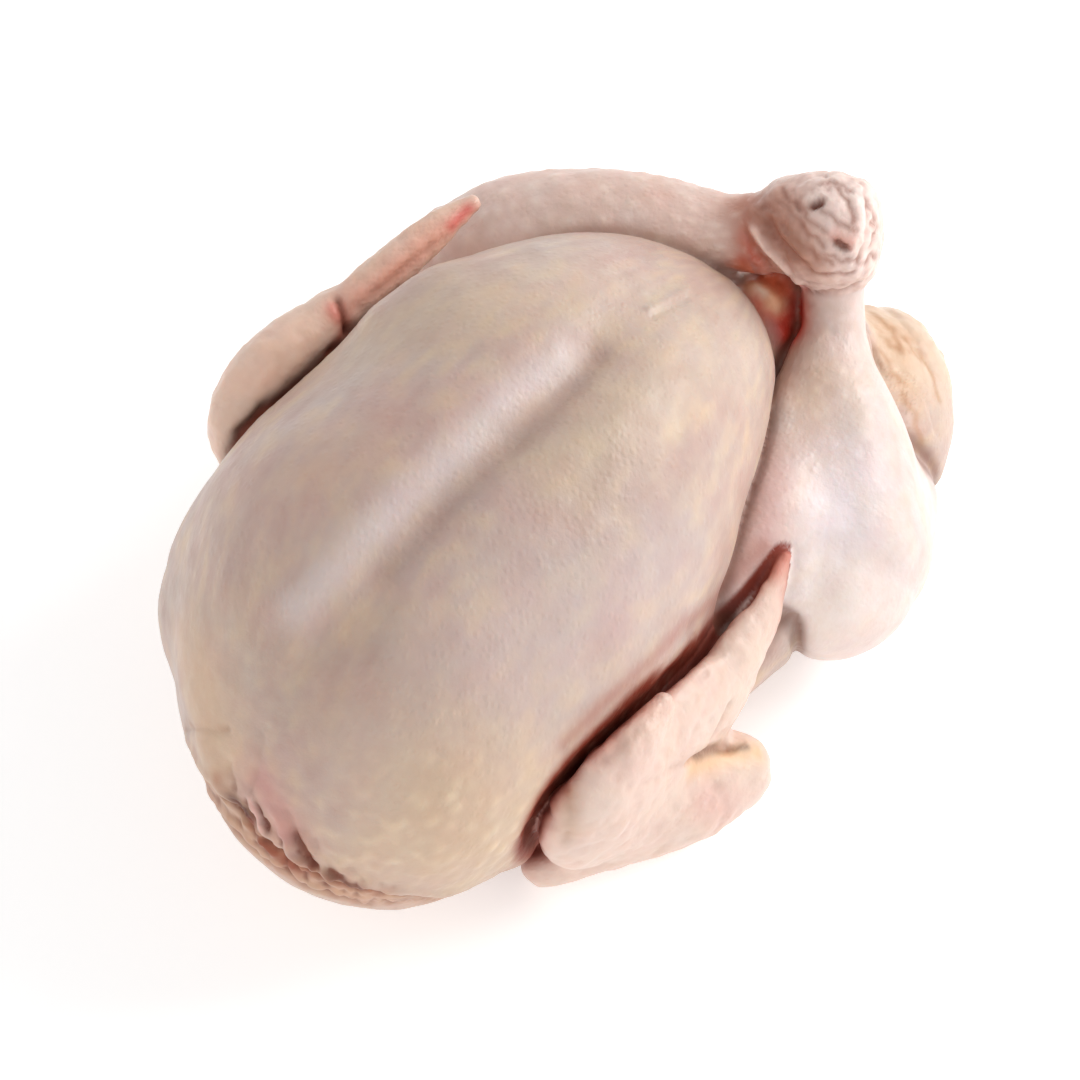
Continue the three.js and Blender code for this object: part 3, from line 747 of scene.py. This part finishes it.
# painted shade dark in the wrinkle lines of the hock
tint((150, 100, 84), 0.55 * wrinkle_shade)
# painted shade on the hock's side turned from the light
tint((176, 130, 112), 0.5 * bell([(770, 214), (790, 232), (806, 256)], 9, knob))
pit = bell([(772, 300), (786, 312), (792, 330)], 9, 1 - knob)
tint((214, 62, 40), 0.97 * np.clip(pit * 1.3, 0, 1))
tint((150, 40, 24), 0.6 * pit * np.clip(noise(V, 4, 91), 0, 1))
area_tint((140, 24, 10), 0.95, [(784, 300), (797, 304), (797, 324)], 4.0, 1 - knob)
area_tint((255, 206, 164), 1.0, wander([(750, 284), (760, 290), (771, 296), (774, 304)], 2.0, 77), 4.2, 1 - knob)
area_tint((255, 238, 214), 0.9, [(757, 290), (763, 294)], 2.0, 1 - knob)
area_tint((222, 112, 72), 0.9, [(738, 268), (750, 272), (762, 277), (778, 286)], 5.0, 1 - knob)
# fat under the skin of the tail; painted shade along the crease between the right leg and the tail
tail_ = soft("tail", 9)
tint((234, 212, 190), 0.85 * tail_)
tint((228, 186, 146), 0.45 * tail_ * np.clip(noise(V, 7, 81), 0, 1))
tint((198, 150, 116), 0.5 * tail_ * np.clip(noise(V, 5, 82), 0, 1))
area_tint((228, 186, 144), 0.45, [(880, 322), (900, 345), (905, 390)], 10, body)
area_tint((226, 200, 180), 0.5, [(935, 370), (945, 420)], 10, body)
for q in ([(872, 312), (890, 330), (900, 352)], [(884, 338), (896, 352)], [(880, 352), (892, 372), (904, 384)], [(904, 340), (918, 360)], [(902, 392), (914, 416), (922, 440)], [(922, 352), (934, 378), (938, 400)]):
    area_tint((188, 136, 92), 0.55, wander(q, 2.0, int(q[0][0])), 1.7, body)
# painted shade dark along the crease between the right leg and the tail
area_tint((150, 100, 64), 0.7, [(864, 304), (866, 326)], 2.0, body)
area_tint((150, 104, 70), 0.65, [(875, 350), (879, 364)], 2.4, body)
# wing tips and the blood along the folds; painted shade dark in the fold lines
area_tint((216, 146, 130), 0.75, [(788, 552), (774, 570)], 5, wr)
area_tint((222, 160, 142), 0.6, [(752, 594), (702, 650), (640, 712), (600, 748)], 5, wr)
area_tint((232, 188, 140), 0.7, [(694, 768), (725, 756), (758, 752)], 4.5, wr)
# painted shade dark in a fold of the right wing
area_tint((120, 90, 70), 0.8, [(700, 758), (716, 750), (746, 747)], 1.8, wr)
area_tint((226, 176, 168), 0.45, [(708, 800), (724, 812)], 9, wr)
# painted shade, brown, along a fold of the right wing
area_tint((190, 156, 128), 0.55, [(568, 796), (570, 834)], 5, wr)
area_tint((216, 100, 94), 0.85, [(483, 198), (468, 210), (452, 226)], 3.2, wl)
area_tint((220, 146, 126), 0.6, [(440, 236), (400, 270), (340, 312)], 6, wl)
area_tint((190, 92, 70), 0.7, [(330, 352), (348, 326), (336, 312)], 3, wl)

area_tint((232, 158, 146), 0.7, [(332, 308), (337, 316)], 2.6, wl)
# painted shade dark in the crease of the left wing
area_tint((150, 78, 60), 0.7, [(338, 302), (343, 317), (348, 333)], 1.8, wl)
def near(group, full, none):
    """1 within the first distance of that group of parts, 0 past the second."""
    x = np.clip((none - gd[:, gname.index(group)]) / (none - full), 0, 1)
    return x * x * (3 - 2 * x)


# painted shade, red-brown, in the hollows of the neck folds, the hock and the wings
cleft = np.clip(-(D - smooth(D, 14)[:, 0]) / 0.7, 0, 1)
folded = np.clip(neck + 0.9 * bell(below(8), 11, body * ends_), 0, 1)
tint((124, 60, 38), 0.8 * cleft * folded)
tint((160, 104, 86), 0.45 * cleft * (knob + 0.6 * wings))
C *= (1 - 0.12 * body)[:, None]
# painted shade, dark red-brown, in the gap between the left wing and the body
wing_l_gap_shade = near("wingL", 1.5, 5.0) * (1 - wl) + wl * np.exp(-((gsort[:, 1] / 4.0) ** 2))
for q, colour, r in (((248, 424), (60, 20, 12), 22), ((290, 394), (64, 22, 14), 22), ((330, 360), (120, 44, 32), 16), ((384, 314), (104, 50, 42), 22), ((440, 270), (116, 62, 58), 22)):
    tint(colour, 0.9 * wing_l_gap_shade * bell([q], r))
high = np.clip(V[:, 2] / 20 - 0.1, 0, 1)
ray = V0 - EYE
across, down = 540 - (ray @ RIGHT) / (ray @ BACKV) * FPX, 540 + (ray @ UP) / (ray @ BACKV) * FPX
inner = 1 - (1 - wr) * np.clip((across - np.interp(down, [540, 552, 635, 692], [797, 787, 716, 661])) / 4, 0, 1)
high *= inner
# painted shade on the body near the right wing
tint((168, 112, 94), 0.45 * near("wingR", 7, 12.8) * body * high)
slim = np.clip((down - 545) / 130, 0, 1)
span = 2.2 + 8.3 * slim
band = np.clip((span - gd[:, gname.index("wingR")]) / (span * 0.55), 0, 1)
band = band * band * (3 - 2 * band) * (1 - wr) * high
# painted shade, dark red-brown, in the gap between the right wing and the body
area_tint((166, 110, 98), 0.6, [(764, 548), (722, 588), (684, 624), (642, 668), (600, 706), (566, 742)], 4.5, 1 - wr)
tint((134, 50, 32), 0.97 * band)
tint((84, 26, 14), 0.6 * near("wingR", 1.5, 4.5) * (1 - wr) * high * slim)
# painted shade dark along both wings' seams with the body; the redder edge tints on the wings are partly the flesh's
# own red, partly painted shade
tint((96, 44, 32), 0.6 * near("wingL", 4, 9) * (1 - wl) * high)
tint((54, 16, 10), 0.95 * near("wingL", 2.5, 6) * (1 - wl) * high)
tint((92, 40, 28), 0.85 * np.exp(-((gsort[:, 1] / 2.6) ** 2)) * wl * high)
tint((206, 110, 92), 0.7 * np.exp(-((gsort[:, 1] / 5.0) ** 2)) * wr)
tint((120, 44, 30), 0.8 * seam * wr)
tint((170, 84, 62), 0.6 * np.exp(-((gsort[:, 1] / 2.5) ** 2)) * wl)
# painted light: lighter in the shaded notch between the right wing and the leg
area_tint((240, 226, 220), 0.7, [(752, 636), (764, 660), (772, 640)], 10, 1 - wr)
# painted shade dark along the seams where the legs meet the body
leg_seam_shade = np.exp(-((gd[:, gname.index("legR")] / 2.4) ** 2)) * body + np.exp(-((gd[:, 0] / 2.4) ** 2)) * leg_right
tint((126, 82, 66), 0.75 * leg_seam_shade)
leg_seam_shade = np.exp(-((gd[:, gname.index("legL")] / 2.4) ** 2)) * body + np.exp(-((gd[:, 0] / 3.0) ** 2)) * leg_left
tint((146, 108, 94), 0.35 * leg_seam_shade)
tint((240, 224, 212), 0.35 * leg_left * bumps)
tint((196, 156, 142), 0.2 * leg_left * (1 - bumps))
tint((224, 206, 178), 0.10 * body * bumps)

mesh = bpy.data.meshes.new("bird_skin")
mesh.vertices.add(len(V))
mesh.vertices.foreach_set("co", (V / 1000).astype(np.float32).ravel())
mesh.loops.add(len(Q) * 4)
mesh.loops.foreach_set("vertex_index", Q.astype(np.int32).ravel())
mesh.polygons.add(len(Q))
mesh.polygons.foreach_set("loop_start", np.arange(0, len(Q) * 4, 4, dtype=np.int32))
mesh.update(calc_edges=True)
mesh.validate()
mesh.shade_smooth()
col = mesh.attributes.new("Tone", "FLOAT_COLOR", "POINT")
col.data.foreach_set("color", np.hstack([C, np.ones((len(C), 1))]).astype(np.float32).ravel())
fol = mesh.attributes.new("Rows", "FLOAT_VECTOR", "POINT")
fol.data.foreach_set("vector", np.stack([(S + W) / 1.414, (S - W) / 1.414, own * 40.0], 1).astype(np.float32).ravel())
wet = mesh.attributes.new("Fade", "FLOAT", "POINT")
wet.data.foreach_set("value", (fade * (1 - seam) * even).astype(np.float32))
moist_a = mesh.attributes.new("Moist", "FLOAT", "POINT")
moist_a.data.foreach_set("value", np.clip(C.mean(1) / 0.35 - 0.3, 0, 1).astype(np.float32))
bird = bpy.data.objects.new("turkey_skin", mesh)
bpy.context.scene.collection.objects.link(bird)

# ------------------------------------------------------------------ material
mat = bpy.data.materials.new("raw_skin")
mat.use_nodes = True
nt = mat.node_tree
nt.nodes.clear()


def node(kind, **inputs):
    n = nt.nodes.new(kind)
    for k, v in inputs.items():
        n.inputs[k.replace("_", " ")].default_value = v
    return n


def link(a, b):
    nt.links.new(a, b)


out = node("ShaderNodeOutputMaterial")
bsdf = node("ShaderNodeBsdfPrincipled")
link(bsdf.outputs[0], out.inputs[0])
tone = node("ShaderNodeAttribute"); tone.attribute_name = "Tone"
rows = node("ShaderNodeAttribute"); rows.attribute_name = "Rows"
fadea = node("ShaderNodeAttribute"); fadea.attribute_name = "Fade"
moist = node("ShaderNodeAttribute"); moist.attribute_name = "Moist"
coord = node("ShaderNodeTexCoord")


def noise_tex(scale, detail=3.0, rough=0.5, distort=0.0):
    n = node("ShaderNodeTexNoise", Scale=scale, Detail=detail, Roughness=rough, Distortion=distort)
    link(coord.outputs["Object"], n.inputs["Vector"])
    return n.outputs["Fac"]


def remap(x, a, b, c, d):
    n = node("ShaderNodeMapRange")
    n.inputs["From Min"].default_value, n.inputs["From Max"].default_value = a, b
    n.inputs["To Min"].default_value, n.inputs["To Max"].default_value = c, d
    link(x, n.inputs["Value"])
    return n.outputs["Result"]


def mixc(fac, a, b, mode="MIX"):
    n = node("ShaderNodeMix")
    n.data_type = "RGBA"
    n.blend_type = mode
    n.clamp_result = False
    for s, v in ((n.inputs[0], fac), (n.inputs[6], a), (n.inputs[7], b)):
        if hasattr(v, "links") or hasattr(v, "is_linked"):
            link(v, s)
        elif isinstance(v, (int, float)):
            s.default_value = v
        else:
            s.default_value = (*v, 1.0)
    return n.outputs[2]


def math_node(op, a, b=None):
    n = node("ShaderNodeMath")
    n.operation = op
    for s, v in ((n.inputs[0], a), (n.inputs[1], b)):
        if v is None:
            continue
        if isinstance(v, (int, float)):
            s.default_value = v
        else:
            link(v, s)
    return n.outputs[0]


base = tone.outputs["Color"]
base = mixc(remap(noise_tex(45, 2.0, 0.6), 0.35, 0.7, 0.0, 0.55), base, (1.05, 0.955, 0.93), "MULTIPLY")
base = mixc(remap(noise_tex(80, 2.0, 0.6), 0.4, 0.72, 0.0, 0.5), base, (1.0, 0.985, 0.93), "MULTIPLY")
base = mixc(remap(noise_tex(260, 1.0, 0.6), 0.3, 0.75, 0.0, 0.30), base, (0.93, 0.88, 0.86), "MULTIPLY")

pore = node("ShaderNodeTexVoronoi", Scale=0.36, Randomness=0.62)
pore.feature = "F1"
link(rows.outputs["Vector"], pore.inputs["Vector"])
dot = math_node("MULTIPLY", remap(pore.outputs["Distance"], 0.0, 0.34, 1.0, 0.0), fadea.outputs["Fac"])
base = mixc(math_node("MULTIPLY", dot, 0.12), base, (0.92, 0.80, 0.70), "MULTIPLY")
link(base, bsdf.inputs["Base Color"])

rough = remap(noise_tex(120, 1.0, 0.6), 0.3, 0.7, 0.36, 0.52)
link(rough, bsdf.inputs["Roughness"])

bump1 = node("ShaderNodeBump", Strength=0.3, Distance=0.0005)
link(math_node("MULTIPLY", remap(pore.outputs["Distance"], 0.05, 0.5, 1.0, 0.0), fadea.outputs["Fac"]), bump1.inputs["Height"])
bump2 = node("ShaderNodeBump", Strength=0.35, Distance=0.0005)
link(noise_tex(520, 2.0, 0.62), bump2.inputs["Height"])
link(bump1.outputs[0], bump2.inputs["Normal"])
link(bump2.outputs[0], bsdf.inputs["Normal"])

bsdf.inputs["Subsurface Weight"].default_value = 0.22
bsdf.inputs["Subsurface Radius"].default_value = (1.0, 0.42, 0.28)
bsdf.inputs["Subsurface Scale"].default_value = 0.004
bsdf.inputs["Specular IOR Level"].default_value = 0.28
link(remap(moist.outputs["Fac"], 0.0, 1.0, 0.0, 0.22), bsdf.inputs["Coat Weight"])
bsdf.inputs["Coat Roughness"].default_value = 0.28
mesh.materials.append(mat)

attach(bird, "root")
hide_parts("turkey")

# ------------------------------------------------------------------ floor, light, camera
fm = bpy.data.meshes.new("floor")
r = 6.0
fm.from_pydata([(-r, -r, 0), (r, -r, 0), (r, r, 0), (-r, r, 0)], [], [(0, 1, 2, 3)])
floor = bpy.data.objects.new("floor", fm)
bpy.context.scene.collection.objects.link(floor)
fmat = bpy.data.materials.new("pale_floor")
fmat.use_nodes = True
fb = fmat.node_tree.nodes["Principled BSDF"]
fb.inputs["Base Color"].default_value = (0.9, 0.9, 0.9, 1)
fb.inputs["Emission Color"].default_value = (1, 1, 1, 1)
fb.inputs["Emission Strength"].default_value = 0.4
fb.inputs["Roughness"].default_value = 0.7
fb.inputs["Specular IOR Level"].default_value = 0.2
fm.materials.append(fmat)

world = bpy.data.worlds.new("studio")
world.use_nodes = True
world.node_tree.nodes["Background"].inputs["Color"].default_value = (1.0, 1.0, 1.0, 1)
wn, wl_ = world.node_tree.nodes, world.node_tree.links
sky = wn.new("ShaderNodeTexCoord")
split = wn.new("ShaderNodeSeparateXYZ")
ramp = wn.new("ShaderNodeMapRange")
for name, v in {"From Min": 0.0, "From Max": 0.9, "To Min": 1.2, "To Max": 0.4}.items():
    ramp.inputs[name].default_value = v
wl_.new(sky.outputs["Generated"], split.inputs[0])
wl_.new(split.outputs["Z"], ramp.inputs["Value"])
wl_.new(ramp.outputs["Result"], wn["Background"].inputs["Strength"])
bpy.context.scene.world = world


def area(name, where, power, size, colour=(1, 1, 1)):
    d = bpy.data.lights.new(name, "AREA")
    d.energy, d.size, d.color = power, size, colour
    o = bpy.data.objects.new(name, d)
    o.location = where
    o.rotation_euler = (Vector((0, 0, 0.07)) - Vector(where)).to_track_quat("-Z", "Y").to_euler()
    bpy.context.scene.collection.objects.link(o)
    return o


def around(azimuth, height, distance):
    a, e = math.radians(azimuth), math.radians(height)
    return (distance * math.cos(a) * math.cos(e), distance * math.sin(a) * math.cos(e), distance * math.sin(e) + 0.07)


area("key", around(62, 34, 1.7), 20.0, 1.0, (1.0, 0.99, 0.975))
area("fill", around(-80, 40, 1.7), 3.0, 1.4)

cam_d = bpy.data.cameras.new("camera")
cam_d.sensor_width = 36.0
cam_d.sensor_fit = "HORIZONTAL"
cam_d.lens = FPX * 36.0 / 1080.0
cam_d.clip_start, cam_d.clip_end = 0.05, 50.0
cam = bpy.data.objects.new("camera", cam_d)
m = np.eye(4)
m[:3, 0], m[:3, 1], m[:3, 2], m[:3, 3] = RIGHT, UP, BACKV, EYE / 1000
cam.matrix_world = Matrix(m.tolist())
bpy.context.scene.collection.objects.link(cam)
bpy.context.scene.camera = cam
bpy.context.scene.view_settings.view_transform = "Standard"
bpy.context.scene.view_settings.look = "None"
